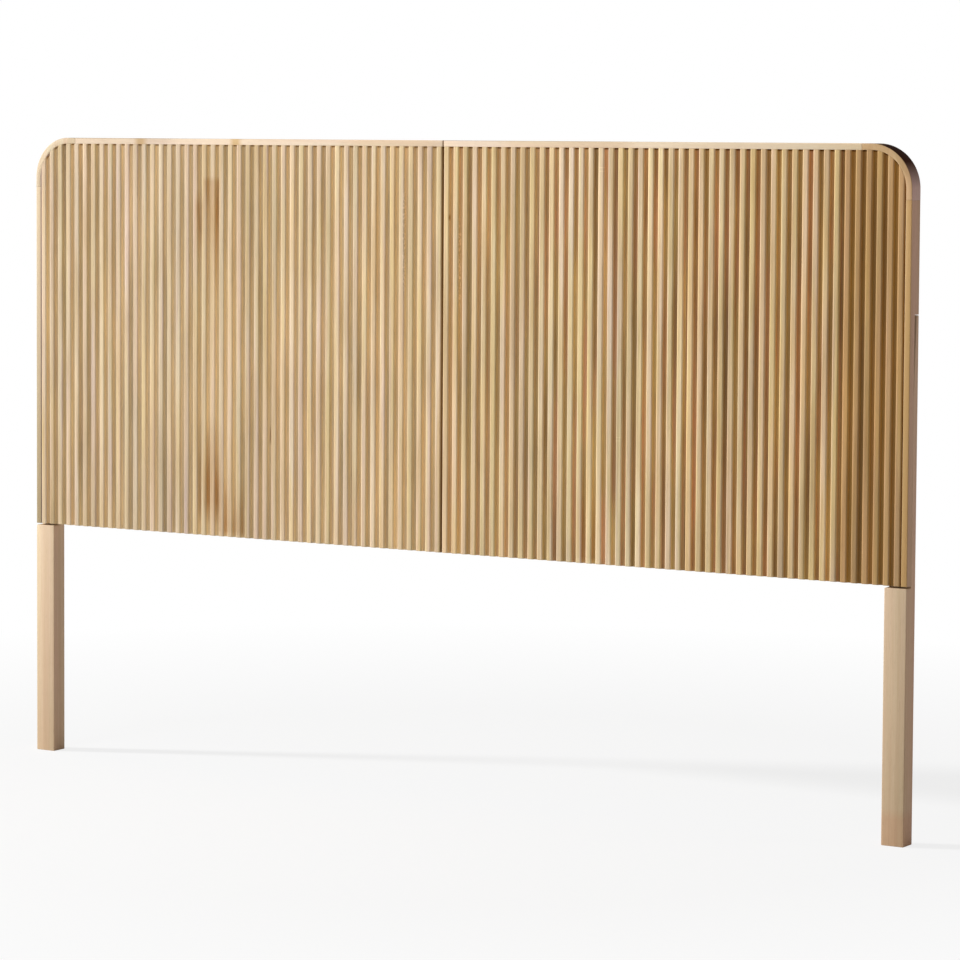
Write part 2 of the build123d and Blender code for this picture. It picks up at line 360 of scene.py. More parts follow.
SIDES = {"left": -1, "right": 1}
X_STEP = Vector((1, 0, 0))
Y_STEP = Vector((0, 1, 0))
Z_STEP = Vector((0, 0, 1))
STAVES = {side: sorted(name for name in nodes if name.startswith(f"{side}_stave_")) for side in SIDES}
front = low("left_leg").y
back = high("left_leg").y
board_back = high("left_stave_2").y
board_bottom = low("left_stave_2").z
board_top = high("left_stave_2").z
panel_top = high("left_rim_top").z
half_width = high("right_leg").x
board_outer = half_width - rim_thickness
arc_centre_x = half_width - corner_radius
arc_centre_z = panel_top - corner_radius
board_radius = corner_radius - rim_thickness
last_stave = STAVES["right"][-1]
GROOVE_MARKS = [upright_mark(low(last_stave).x, high(last_stave).x, golden_feather, GOLDEN_TINT)]


# Meshes
def new_object(name, mesh):
    made = bpy.data.objects.new(name, mesh)
    bpy.context.scene.collection.objects.link(made)
    return made


def mesh_from(name, points, faces):
    mesh = bpy.data.meshes.new(name)
    mesh.from_pydata([tuple(point) for point in points], [], faces)
    mesh.validate()
    return new_object(name, mesh)


def recalculate(piece):
    shape = bmesh.new()
    shape.from_mesh(piece.data)
    bmesh.ops.recalc_face_normals(shape, faces=shape.faces)
    shape.to_mesh(piece.data)
    shape.free()


def smooth_by_angle(piece):
    piece.data.shade_smooth()
    piece.data.set_sharp_from_angle(angle=sharp_angle)


# Closed solid between two outlines with the same number of points
def solid_between(name, start_outline, end_outline):
    count = len(start_outline)
    walls = [(i, (i + 1) % count, (i + 1) % count + count, i + count) for i in range(count)]
    caps = [tuple(range(count))[::-1], tuple(range(count, 2 * count))]
    piece = mesh_from(name, list(start_outline) + list(end_outline), caps + walls)
    recalculate(piece)
    return piece


def prism(name, outline, push):
    return solid_between(name, outline, [point + push for point in outline])


def block(name, a, b):
    corners = ((a.x, a.y), (b.x, a.y), (b.x, b.y), (a.x, b.y))
    outline = [Vector((x, y, a.z)) for x, y in corners]
    return prism(name, outline, Vector((0, 0, b.z - a.z)))


def circle_points(centre, axis, radius, sides):
    turn = Vector(axis).to_track_quat("Z", "Y")
    angles = [2 * math.pi * i / sides for i in range(sides)]
    return [centre + turn @ Vector((radius * math.cos(a), radius * math.sin(a), 0)) for a in angles]


def cone(name, start, end, start_radius, end_radius):
    axis = end - start
    start_circle = circle_points(start, axis, start_radius, round_sides)
    return solid_between(name, start_circle, circle_points(end, axis, end_radius, round_sides))


def cylinder(name, start, end, radius):
    return cone(name, start, end, radius, radius)


def cut(piece, cutters):
    for cutter in cutters:
        change = piece.modifiers.new("cut", "BOOLEAN")
        change.operation = "DIFFERENCE"
        change.solver = "EXACT"
        change.object = cutter
    apply_changes(piece)
    for cutter in cutters:
        bpy.data.objects.remove(cutter, do_unlink=True)


def apply_changes(piece):
    bpy.context.view_layer.update()
    changed = piece.evaluated_get(bpy.context.evaluated_depsgraph_get())
    settled = bpy.data.meshes.new_from_object(changed)
    piece.modifiers.clear()
    piece.data = settled


# Rounds each edge by the share of the width that a rule gives for its two ends
def round_edges(piece, width, share_of_edge):
    weights = piece.data.attributes.new("bevel_weight_edge", "FLOAT", "EDGE")
    vertices = piece.data.vertices
    for edge in piece.data.edges:
        start, end = (vertices[i].co for i in edge.vertices)
        weights.data[edge.index].value = share_of_edge(start, end)
    change = piece.modifiers.new("round", "BEVEL")
    change.limit_method = "WEIGHT"
    change.width = width
    change.segments = weighted_segments
    apply_changes(piece)
    smooth_by_angle(piece)


def round_sharp(piece, width):
    change = piece.modifiers.new("round", "BEVEL")
    change.limit_method = "ANGLE"
    change.angle_limit = sharp_angle
    change.width = width
    change.segments = sharp_segments
    apply_changes(piece)
    smooth_by_angle(piece)


def join(name, pieces):
    joined = bmesh.new()
    for piece in pieces:
        joined.from_mesh(piece.data)
        bpy.data.objects.remove(piece, do_unlink=True)
    mesh = bpy.data.meshes.new(name)
    joined.to_mesh(mesh)
    joined.free()
    made = new_object(name, mesh)
    smooth_by_angle(made)
    return made


# Reeded staves: one reed as distances from a groove's middle and depths from the front
def reed_columns():
    wall_height = reed_depth - reed_shoulder_radius * (1 - math.cos(reed_wall_angle))
    foot = groove_width / 2
    wall_top = foot + wall_height / math.tan(reed_wall_angle)
    crest_edge = wall_top + reed_shoulder_radius * math.sin(reed_wall_angle)
    corner_centre = foot - groove_corner_radius * math.tan(reed_wall_angle / 2)
    rising = []
    for i in range(corner_steps + 1):
        angle = reed_wall_angle * i / corner_steps
        rise = groove_corner_radius * (1 - math.cos(angle))
        rising.append((corner_centre + groove_corner_radius * math.sin(angle), reed_depth - rise))
    for i in range(shoulder_steps + 1):
        angle = reed_wall_angle * (1 - i / shoulder_steps)
        across = crest_edge - reed_shoulder_radius * math.sin(angle)
        rising.append((across, reed_shoulder_radius * (1 - math.cos(angle))))
    return [(0.0, reed_depth)] + rising + [(reed_pitch - across, depth) for across, depth in rising[::-1]]


def board_top_at(x):
    past = abs(x) - arc_centre_x
    if past <= 0:
        return board_top
    return arc_centre_z + math.sqrt(max(board_radius**2 - past**2, 0))


def stave_columns(node):
    left, right = low(node).x, high(node).x
    board_left = -board_outer if left < 0 else low(STAVES["right"][0]).x
    groove = board_left + first_groove
    while groove > left:
        groove -= reed_pitch
    reed = reed_columns()
    columns = []
    while groove < right:
        columns += [(groove + across, depth) for across, depth in reed]
        groove += reed_pitch
    columns.append((groove, reed_depth))
    inside = [(x, depth) for x, depth in columns if left + arris / 4 < x < right - arris / 4]

    def depth_at(x):
        after = next(i for i, column in enumerate(columns) if column[0] >= x)
        (x0, depth0), (x1, depth1) = columns[max(after - 1, 0)], columns[max(after, 1)]
        return depth0 + (depth1 - depth0) * (x - x0) / (x1 - x0)

    return [(left, depth_at(left))] + inside + [(right, depth_at(right))]


def reeded_stave(node):
    columns = stave_columns(node)
    points = []
    for x, depth in columns:
        y, top = front + depth, board_top_at(x)
        points += [
            Vector((x, y + arris, board_bottom)),
            Vector((x, y, board_bottom + arris)),
            Vector((x, y, top)),
            Vector((x, board_back, top)),
            Vector((x, board_back, board_bottom)),
        ]
    ring = len(points) // len(columns)
    faces = []
    for column in range(len(columns) - 1):
        for row in range(ring):
            a = column * ring + row
            b = column * ring + (row + 1) % ring
            faces.append((a, b, b + ring, a + ring))
    last = (len(columns) - 1) * ring
    faces.append(tuple(range(ring)))
    faces.append(tuple(range(last, last + ring))[::-1])
    piece = mesh_from(f"visual_{node}", points, faces)
    recalculate(piece)
    smooth_by_angle(piece)
    return piece


# Rim pieces
def rim_strip_weight(along):
    def rule(start, end):
        direction = end - start
        runs_along = abs(direction[along]) > abs(direction.length) / 2
        outside = max(start.z, end.z) > panel_top - joint_round or abs(start.x) > half_width - joint_round
        return 1.0 if runs_along and outside else joint_round / rim_round

    return rule


def rim_top(node):
    piece = block(f"visual_{node}", low(node), high(node))
    round_edges(piece, rim_round, rim_strip_weight(0))
    return piece


def rim_side(node, ledge):
    a, b = low(node), high(node)
    outline = [
        Vector((a.x, front, a.z)),
        Vector((a.x, board_back, a.z)),
        Vector((a.x, board_back, ledge)),
        Vector((a.x, back, ledge)),
        Vector((a.x, back, b.z)),
        Vector((a.x, front, b.z)),
    ]
    piece = prism(f"visual_{node}", outline, Vector((b.x - a.x, 0, 0)))
    round_edges(piece, rim_round, rim_strip_weight(2))
    return piece


def rim_corner(node, side):
    a, b = low(node), high(node)
    start_x = b.x if side < 0 else a.x
    angles = [math.pi / 2 * i / arc_steps for i in range(arc_steps + 1)]

    def on_arc(radius, angle):
        x = side * (arc_centre_x + radius * math.sin(angle))
        return Vector((x, front, arc_centre_z + radius * math.cos(angle)))

    def arc(radius, order):
        return [on_arc(radius, angle) for angle in order]

    outer = [Vector((start_x, front, panel_top))] + arc(corner_radius, angles)
    outer.append(Vector((side * half_width, front, a.z)))
    inner = [Vector((side * board_outer, front, a.z))] + arc(board_radius, angles[::-1])
    inner.append(Vector((start_x, front, board_top)))
    piece = prism(f"visual_{node}", outer + inner, Vector((0, back - front, 0)))

    # Edges through the depth, between the facets of the arc, stay as they are
    def rule(start, end):
        if abs(start.y - end.y) > rim_round:
            return 0.0
        middle = (start + end) / 2
        past = Vector((abs(middle.x) - arc_centre_x, 0, middle.z - arc_centre_z))
        reach = past.length if past.x > 0 and past.z > 0 else max(past.x, past.z)
        return 1.0 if reach > corner_radius - rim_thickness / 2 else joint_round / rim_round

    round_edges(piece, rim_round, rule)
    return piece


# Legs with a tapered tongue and bolt recesses
def leg(node, shoulder, taper_start, tip_front, bolt_centres):
    a, b = low(node), high(node)
    outline = [
        Vector((a.x, front, a.z)),
        Vector((a.x, back, a.z)),
        Vector((a.x, back, b.z)),
        Vector((a.x, tip_front, b.z)),
        Vector((a.x, board_back, taper_start)),
        Vector((a.x, board_back, shoulder)),
        Vector((a.x, front, shoulder)),
    ]
    piece = prism(f"visual_{node}", outline, Vector((b.x - a.x, 0, 0)))

    def rule(start, end):
        return 1.0 if abs((end - start).x) < joint_round else leg_end_share

    round_edges(piece, leg_round, rule)
    seat = back - bolt_head_height - washer_thickness
    cutters = []
    for x, z in bolt_centres:
        reach = Vector((x, back + leg_round, z))
        cutters.append(cylinder("recess", Vector((x, seat, z)), reach, leg_recess_radius))
        bore_start = Vector((x, board_back - leg_round, z))
        cutters.append(cylinder("bore", bore_start, reach, leg_bolt_radius + fastener_clearance))
    cut(piece, cutters)
    smooth_by_angle(piece)
    return piece


# Rails and stiles: boards with eased edges and a countersunk hole for each screw that passes through
def screwed_board(node, screw_centres):
    a, b = low(node), high(node)
    piece = block(f"visual_{node}", a, b)
    round_sharp(piece, rail_round)
    own = [(x, z) for x, z in screw_centres if a.x < x < b.x and a.z < z < b.z]
    hole_radius = screw_radius + fastener_clearance
    cutters = []
    for x, z in own:
        face = Vector((x, b.y + fastener_clearance, z))
        neck = Vector((x, b.y - screw_head_height - fastener_clearance, z))
        foot = Vector((x, a.y - fastener_clearance, z))
        cutters.append(cone("countersink", face, neck, screw_head_radius + fastener_clearance, hole_radius))
        cutters.append(cylinder("hole", neck + Y_STEP * fastener_clearance, foot, hole_radius))
    cut(piece, cutters)
    smooth_by_angle(piece)
    return piece


# Fasteners
def hex_bolt(x, z):
    head_foot = Vector((x, back - bolt_head_height, z))
    tip = Vector((x, low("leg_bolts").y, z))
    hexagon = circle_points(head_foot, Y_STEP, bolt_head_radius, hexagon_sides)
    head = prism("head", hexagon, Y_STEP * bolt_head_height)
    round_sharp(head, joint_round)
    return [head, cylinder("shank", tip, head_foot, leg_bolt_radius)]


def washer(x, z):
    seat = Vector((x, back - bolt_head_height - washer_thickness, z))
    disc = cylinder("washer", seat, seat + Y_STEP * washer_thickness, washer_radius)
    hole_radius = leg_bolt_radius + fastener_clearance
    cut(disc, [cylinder("hole", seat - Y_STEP * rim_round, seat + Y_STEP * bolt_head_height, hole_radius)])
    round_sharp(disc, joint_round / 2)
    return [disc]


def socket_head(foot, outward):
    face = foot + outward * connector_head_height
    head = cylinder("head", foot, face, connector_head_radius)
    socket_foot = circle_points(face - outward * socket_depth, outward, socket_radius, hexagon_sides)
    cut(head, [prism("socket", socket_foot, outward * (socket_depth + rim_round))])
    round_sharp(head, joint_round)
    return head


def seam_bolt(lows, highs):
    y, z = (lows.y + highs.y) / 2, (lows.z + highs.z) / 2
    head_foot = Vector((lows.x + connector_head_height, y, z))
    shank = cylinder("shank", head_foot, Vector((highs.x, y, z)), connector_radius)
    return [socket_head(head_foot, -X_STEP), shank]


def sleeve_nut(lows, highs):
    y, z = (lows.y + highs.y) / 2, (lows.z + highs.z) / 2
    head_foot = Vector((highs.x - connector_head_height, y, z))
    mouth = Vector((lows.x, y, z))
    sleeve = cylinder("sleeve", mouth, head_foot, sleeve_radius)
    bore_radius = connector_radius + fastener_clearance
    cut(sleeve, [cylinder("bore", mouth - X_STEP * rim_round, head_foot - X_STEP * rim_round, bore_radius)])
    return [socket_head(head_foot, X_STEP), sleeve]


def rail_screw(lows, highs):
    x, z = (lows.x + highs.x) / 2, (lows.z + highs.z) / 2
    tip, face = Vector((x, lows.y, z)), Vector((x, highs.y, z))
    neck = face - Y_STEP * screw_head_height
    head = cone("head", neck, face, screw_radius, screw_head_radius)
    arms = []
    for width, height in ((cross_length, cross_width), (cross_width, cross_length)):
        reach = Vector((width / 2, 0, height / 2))
        arms.append(block("arm", face - reach - Y_STEP * cross_depth, face + reach + Y_STEP * rim_round))
    cut(head, arms)
    return [head, cylinder("shank", tip, neck, screw_radius)]


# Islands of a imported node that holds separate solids
def island_boxes(node):
    shape = bmesh.new()
    shape.from_mesh(nodes[node].data)
    bmesh.ops.remove_doubles(shape, verts=shape.verts, dist=weld_distance)
    seen, boxes = set(), []
    for vertex in shape.verts:
        if vertex in seen:
            continue
        stack, island = [vertex], []
        seen.add(vertex)
        while stack:
            current = stack.pop()
            island.append(current.co)
            for edge in current.link_edges:
                other = edge.other_vert(current)
                if other not in seen:
                    seen.add(other)
                    stack.append(other)
        lows = Vector([min(co[i] for co in island) for i in range(3)])
        highs = Vector([max(co[i] for co in island) for i in range(3)])
        boxes.append((lows, highs))
    shape.free()
    return boxes


# Materials: a mix node keeps its two colours and its result behind the sockets of its other data types
MIX_FIRST = 6
MIX_SECOND = 7
MIX_RESULT = 2


class Tree:
    def __init__(self, name):
        self.material = bpy.data.materials.new(name)
        self.material.use_nodes = True
        self.nodes = self.material.node_tree.nodes
        self.links = self.material.node_tree.links
        self.shader = self.nodes["Principled BSDF"]
        self.place = self.add("ShaderNodeTexCoord").outputs["Object"]
        self.piece = self.add("ShaderNodeObjectInfo").outputs

    def add(self, kind, inputs=(), **settings):
        made = self.nodes.new(kind)
        for name, value in settings.items():
            setattr(made, name, value)
        for key, value in dict(inputs).items():
            self.feed(made.inputs[key], value)
        return made

    def feed(self, socket, value):
        if isinstance(value, bpy.types.NodeSocket):
            self.links.new(value, socket)
        else:
            socket.default_value = value

    def maths(self, operation, *values):
        return self.add("ShaderNodeMath", enumerate(values), operation=operation).outputs[0]

    def split(self, place):
        return self.add("ShaderNodeSeparateXYZ", {"Vector": place}).outputs

    def noise(self, place, scale, detail=2.0, roughness=0.5):
        inputs = {"Vector": place, "Scale": scale, "Detail": detail, "Roughness": roughness}
        return self.add("ShaderNodeTexNoise", inputs).outputs["Fac"]

    def stretch(self, place, along, across):
        return self.add("ShaderNodeMapping", {"Vector": place, "Scale": (across, across, along)}).outputs[0]

    def remap(self, value, from_low, from_high, to_low=0.0, to_high=1.0):
        inputs = {"Value": value, "From Min": from_low, "From Max": from_high}
        inputs.update({"To Min": to_low, "To Max": to_high})
        return self.add("ShaderNodeMapRange", inputs, clamp=True).outputs[0]

    def mix(self, share, first, second, blend="MIX"):
        made = self.add("ShaderNodeMix", data_type="RGBA", blend_type=blend)
        self.feed(made.inputs["Factor"], share)
        self.feed(made.inputs[MIX_FIRST], first)
        self.feed(made.inputs[MIX_SECOND], second)
        return made.outputs[MIX_RESULT]


# Places in the wood, turned so that the grain runs along Z, and the same places moved from piece to piece
def grain_places(tree, grain_axis):
    place = tree.place
    if grain_axis == "X":
        parts = tree.split(place)
        turned = {"X": parts["Z"], "Y": parts["Y"], "Z": parts["X"]}
        place = tree.add("ShaderNodeCombineXYZ", turned).outputs[0]
    scaling = {0: PIECE_SHIFT, "Scale": tree.piece["Random"]}
    shift = tree.add("ShaderNodeVectorMath", scaling, operation="SCALE").outputs[0]
    moved = tree.add("ShaderNodeVectorMath", {0: place, 1: shift}, operation="ADD").outputs[0]
    return place, moved


# Dark late wood of the growth rings, bent slowly along the grain
def late_wood(tree, place, moved, ring_size):
    bend = tree.noise(tree.stretch(moved, *RING_BEND_COUNTS), 1.0, fine_detail)
    bend = tree.maths("MULTIPLY", tree.maths("SUBTRACT", bend, noise_middle), ring_bend)
    parts = tree.split(place)
    across = tree.maths("ADD", parts["X"], tree.maths("MULTIPLY", tree.piece["Random"], pith_step))
    across = tree.maths("PINGPONG", tree.maths("ADD", across, bend), pith_span)
    depth = tree.maths("ADD", parts["Y"], pith_depth)
    squares = [tree.maths("POWER", side, 2.0) for side in (across, depth)]
    radius = tree.maths("SQRT", tree.maths("ADD", *squares))
    phase = tree.maths("FRACT", tree.maths("DIVIDE", radius, ring_size))
    return tree.maths("POWER", phase, late_wood_power)


# How strong a pattern of bands along the grain is at each place
def bands(tree, moved, across, along, start, full, detail=fine_detail):
    pattern = tree.noise(tree.stretch(moved, along, across), 1.0, detail, band_roughness)
    return tree.remap(pattern, start, full)


# Fibres are hair-fine bands, and pores short dark dashes
def fibres_and_pores(tree, moved):
    fibres = tree.noise(tree.stretch(moved, *FIBRE_COUNTS), 1.0, fine_detail, fibre_roughness)
    return fibres, bands(tree, moved, *PORE_BANDS)


def tinted(tree, colour, tint, share=1.0):
    return tree.mix(share, colour, tint, "MULTIPLY")


def surface_normal(tree):
    return tree.add("ShaderNodeNewGeometry").outputs["Normal"]


# Soft-edged area between two places across and two heights, feathered at its ends
def area(tree, across_limits, height_limits, side_feather, top_feather, foot_feather):
    parts = tree.split(tree.place)
    left, right = across_limits
    foot, top = height_limits
    edges = [
        tree.remap(parts["X"], left - side_feather, left + side_feather),
        tree.remap(parts["X"], right + side_feather, right - side_feather),
        tree.remap(parts["Z"], foot, foot + foot_feather),
        tree.remap(parts["Z"], top, top - top_feather),
    ]
    share = edges[0]
    for edge in edges[1:]:
        share = tree.maths("MULTIPLY", share, edge)
    return share


def marked(tree, colour, marks, pattern=1.0):
    for across_limits, height_limits, feathers, tint in marks:
        share = area(tree, across_limits, height_limits, *feathers)
        colour = tinted(tree, colour, tint, tree.maths("MULTIPLY", share, pattern))
    return colour


# Colour, a painted highlight on the rounded edges, gloss and relief of an oiled surface
def finish_wood(tree, colour, late, fibres, pores, edge_highlight_share, painted_shade_share=0.0):
    colour = tinted(tree, colour, FIBRE_TINT, tree.remap(fibres, *FIBRE_TINT_LIMITS))
    colour = tree.mix(tree.maths("MULTIPLY", pores, pore_share), colour, PORE_COLOUR)
    colour = tinted(tree, colour, tree.piece["Color"])
    rounded = tree.add("ShaderNodeBevel", {"Radius": edge_bevel_width}, samples=edge_bevel_samples).outputs[0]
    both = {0: rounded, 1: surface_normal(tree)}
    facing = tree.add("ShaderNodeVectorMath", both, operation="DOT_PRODUCT").outputs["Value"]
    # Painted highlight: rounded edges are lightened toward a pale colour
    edge = tree.remap(facing, *EDGE_HIGHLIGHT_FACING)
    colour = tree.mix(tree.maths("MULTIPLY", edge, edge_highlight_share), colour, EDGE_HIGHLIGHT_COLOUR)
    fibre_relief = tree.maths("MULTIPLY", fibres, fibre_relief_share)
    relief = tree.maths("ADD", fibre_relief, tree.maths("MULTIPLY", late, late_relief_share))
    relief = tree.maths("SUBTRACT", relief, tree.maths("MULTIPLY", pores, pore_relief_share))
    inputs = {"Height": relief, "Strength": grain_strength, "Distance": grain_relief, "Normal": rounded}
    bump = tree.add("ShaderNodeBump", inputs)
    tree.feed(tree.shader.inputs["Base Color"], colour)
    roughness = tree.remap(fibres, *FIBRE_ROUGHNESS_LIMITS, *WOOD_ROUGHNESS)
    tree.feed(tree.shader.inputs["Roughness"], roughness)
    tree.feed(tree.shader.inputs["Normal"], bump.outputs[0])
    # Gloss falls where shade is painted
    gloss = tree.remap(painted_shade_share, 0.0, 1.0, wood_gloss, painted_shade_gloss)
    tree.feed(tree.shader.inputs["Specular IOR Level"], gloss)
    return tree.material


# Plain wood; a piece may have right-hand faces tinted to their shade colour as painted shade, a darker
# foot, painted shade on its upper right-hand bend, and marks
def wood(name, pale, deep, grain_axis="Z", shaded_side_tint=None, foot=None, bend_shade_tint=None, marks=()):
    tree = Tree(name)
    place, moved = grain_places(tree, grain_axis)
    late = late_wood(tree, place, moved, plain_ring_size)
    fibres, pores = fibres_and_pores(tree, moved)
    colour = tree.mix(tree.maths("MULTIPLY", late, plain_late_share), pale, deep)
    colour = tree.mix(bands(tree, moved, *PLAIN_FINE_BANDS), colour, deep)
    colour = tree.mix(bands(tree, moved, *PLAIN_WIDE_BANDS), colour, deep)
    rosy = bands(tree, moved, *PLAIN_ROSY_BANDS)
    colour = tree.mix(rosy, tinted(tree, colour, YELLOW_TINT), tinted(tree, colour, ROSE_TINT))
    normal = tree.split(surface_normal(tree))
    # Painted shade: faces that turn right, away from the key lamp, take the colour of their shade
    if shaded_side_tint:
        colour = tinted(tree, colour, shaded_side_tint, tree.remap(normal["X"], *SIDE_FACING))
    if foot:
        foot_tint, fade_top, fade_foot = foot
        fade = tree.remap(tree.split(tree.place)["Z"], fade_top, fade_foot)
        colour = tinted(tree, colour, foot_tint, tree.maths("MULTIPLY", fade, tree.piece["Alpha"]))
    painted_shade_share = 0.0
    # Painted shade: the upward, right-facing part of a bend is darkened, and its gloss is dulled with it
    if bend_shade_tint:
        upward = tree.remap(normal["Z"], *BEND_UPWARD)
        painted_shade_share = tree.maths("MULTIPLY", upward, tree.remap(normal["X"], *BEND_RIGHTWARD))
        colour = tinted(tree, colour, bend_shade_tint, painted_shade_share)
    colour = marked(tree, colour, marks)
    return finish_wood(tree, colour, late, fibres, pores, plain_edge_highlight_share, painted_shade_share)


# How near a place is to the rim: 1 at the rim itself, falling to 0 over the shaded ends of the grooves
def rim_nearness(tree):
    parts = tree.split(tree.place)
    past = tree.maths("SUBTRACT", tree.maths("ABSOLUTE", parts["X"]), arc_centre_x)
    rise = tree.maths("SUBTRACT", parts["Z"], arc_centre_z)
    squares = [tree.maths("POWER", tree.maths("MAXIMUM", side, 0.0), 2.0) for side in (past, rise)]
    reach = tree.maths("SQRT", tree.maths("ADD", *squares))
    return tree.remap(reach, board_radius - groove_end_shade, board_radius - groove_end_shade / 2)


def crest_colour(tree, moved, late, tone, milky):
    crest = tree.mix(bands(tree, moved, *CREST_ROSY_BANDS), CREST_STRAW, CREST_ROSE)
    brown = tree.maths("MULTIPLY", bands(tree, moved, *CREST_BROWN_BANDS), crest_brown_share)
    crest = tree.mix(brown, crest, CREST_TAN)
    crest = tree.mix(tree.maths("MULTIPLY", late, crest_late_share), crest, CREST_TAN)
    swing = tree.remap(tree.piece["Alpha"], 0.0, 1.0, *CREST_SWING_SHARES)
    swing = tree.maths("MULTIPLY", tree.maths("SUBTRACT", tone, tone_middle), swing)
    crest = tinted(tree, crest, tree.maths("ADD", swing, 1.0))
    return tree.mix(milky, tinted(tree, crest, AMBER_TINT), tinted(tree, crest, MILKY_TINT))


def shaded_groove_colour(tree, moved, tone, milky):
    groove = tree.mix(bands(tree, moved, *GROOVE_RUSSET_BANDS), GROOVE_OLIVE, GROOVE_RUSSET)
    dark = tree.maths("MULTIPLY", bands(tree, moved, *GROOVE_DARK_BANDS), groove_dark_share)
    groove = tinted(tree, tree.mix(dark, groove, GROOVE_UMBER), tree.piece["Color"])
    groove = tree.mix(tree.piece["Alpha"], GROOVE_GOLD, groove)
    groove = marked(tree, groove, GROOVE_MARKS)
    groove = tinted(tree, groove, tree.remap(tone, 0.0, tone_full, *GROOVE_TONE_SHARES))
    return tinted(tree, groove, AMBER_TINT, tree.maths("MULTIPLY", milky, groove_amber_share))


# How far a place lies down in a groove: 0 on the crests and on the board's back, 1 at the groove's foot
def groove_share(tree, place, moved):
    depth = tree.split(place)["Y"]
    spread = tree.maths("MULTIPLY", bands(tree, moved, *GROOVE_SPREAD_BANDS), groove_spread)
    start = front + reed_depth * groove_start_share
    full = front + reed_depth * groove_full_share
    sunk = tree.remap(tree.maths("ADD", depth, spread), start, full)
    behind = front + reed_depth + arris
    return tree.maths("MULTIPLY", sunk, tree.remap(depth, behind + arris, behind))


# Reeded boards: pale crests, grooves in a painted shade colour, painted shade at the groove ends, and the
# marks of this wood
def reeded_wood(name):
    tree = Tree(name)
    place, moved = grain_places(tree, "Z")
    late = late_wood(tree, place, moved, board_ring_size)
    fibres, pores = fibres_and_pores(tree, moved)
    milky = bands(tree, moved, *MILKY_BANDS)
    tone = tree.maths("ADD", bands(tree, moved, *REED_TONE_BANDS), bands(tree, moved, *LENGTH_TONE_BANDS))
    sunk = groove_share(tree, place, moved)
    crest = crest_colour(tree, moved, late, tone, milky)
    # Painted shade: down in the grooves the crest colour gives way to a shaded copy of the wood
    colour = tree.mix(sunk, crest, shaded_groove_colour(tree, moved, tone, milky))
    # Painted light: reed walls that face right are lightened
    facing_right = tree.remap(tree.split(surface_normal(tree))["X"], *WALL_FACING)
    colour = tinted(tree, colour, WALL_LIGHT_TINT, facing_right)
    # Painted shade: the grooves darken at their ends under the rim, less on staves with a low own share
    shaded = tree.maths("MULTIPLY", sunk, rim_nearness(tree))
    end_share = tree.remap(tree.piece["Alpha"], 0.0, 1.0, short_groove_end_shade_share, 1.0)
    colour = tinted(tree, colour, GROOVE_END_SHADE_TINT, tree.maths("MULTIPLY", shaded, end_share))
    fade = tree.remap(tree.split(place)["Z"], board_top, board_bottom)
    colour = tinted(tree, colour, BOARD_FOOT_TINT, fade)
    soaked = tree.remap(sunk, 0.0, 1.0, crest_stain_share, 1.0)
    stain_pattern = tree.maths("MULTIPLY", bands(tree, place, *STAIN_BANDS), soaked)
    colour = marked(tree, colour, STAINS, stain_pattern)
    colour = marked(tree, colour, SPECKLED_LINES, bands(tree, place, *SPECKLE_BANDS))
    colour = marked(tree, colour, SMALL_MARKS)
    return finish_wood(tree, colour, late, fibres, pores, board_edge_highlight_share, shaded)


def zinc(name):
    tree = Tree(name)
    haze = tree.noise(tree.place, haze_count, fine_detail)
    scratches = tree.noise(tree.stretch(tree.place, *SCRATCH_COUNTS), 1.0)
    tree.feed(tree.shader.inputs["Base Color"], tree.mix(haze, ZINC_DIM, ZINC_BRIGHT))
    tree.feed(tree.shader.inputs["Metallic"], 1.0)
    tree.feed(tree.shader.inputs["Roughness"], tree.remap(haze, *HAZE_LIMITS, *ZINC_ROUGHNESS))
    inputs = {"Height": scratches, "Strength": scratch_strength, "Distance": scratch_relief}
    tree.feed(tree.shader.inputs["Normal"], tree.add("ShaderNodeBump", inputs).outputs[0])
    return tree.material


board_wood = reeded_wood("board_wood")
rim_foot = (RIM_FOOT_TINT, arc_centre_z, board_bottom)
# Painted shade: the legs darken toward the floor
leg_foot_shade = (LEG_FOOT_SHADE_TINT, board_bottom, 0.0)
rim_wood_across = wood("rim_wood_across", RIM_PALE, RIM_DEEP, "X", marks=RIM_MARKS)
rim_wood_up = wood("rim_wood_up", RIM_PALE, RIM_DEEP, shaded_side_tint=RIM_SHADED_SIDE_TINT, foot=rim_foot)
rim_wood_bent = wood("rim_wood_bent", RIM_PALE, RIM_DEEP, shaded_side_tint=RIM_SHADED_SIDE_TINT, bend_shade_tint=BEND_SHADE_TINT)
leg_wood = wood("leg_wood", LEG_PALE, LEG_DEEP, shaded_side_tint=LEG_SHADED_SIDE_TINT, foot=leg_foot_shade, marks=LEG_MARKS)
rail_wood_across = wood("rail_wood_across", RAIL_PALE, RAIL_DEEP, "X")
rail_wood_up = wood("rail_wood_up", RAIL_PALE, RAIL_DEEP)
zinc_steel = zinc("zinc_steel")


# The piece's tint and its own share reach the material as the object's colour and its alpha
def finish_piece(piece, node, material, slot, tint=(1.0, 1.0, 1.0), own_share=1.0):
    piece.data.materials.clear()
    piece.data.materials.append(material)
    piece.color = (*tint, own_share)
    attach(piece, "root")
    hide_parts(node)


# Boards
for node, (tint, own_share) in STAVE_TINTS.items():
    finish_piece(reeded_stave(node), node, board_wood, "reeded_board", tint, own_share)

# Rim
tongue_top = high("left_leg").z
ledge = tongue_top + tongue_end_clearance
for name, side in SIDES.items():
    rim_parts = {
        f"{name}_rim_top": (rim_top(f"{name}_rim_top"), rim_wood_across),
        f"{name}_rim_side": (rim_side(f"{name}_rim_side", ledge), rim_wood_up),
        f"{name}_rim_corner": (rim_corner(f"{name}_rim_corner", side), rim_wood_bent),
    }
    for node, (piece, material) in rim_parts.items():
        finish_piece(piece, node, material, "rim_wood", *RIM_TINTS[node])


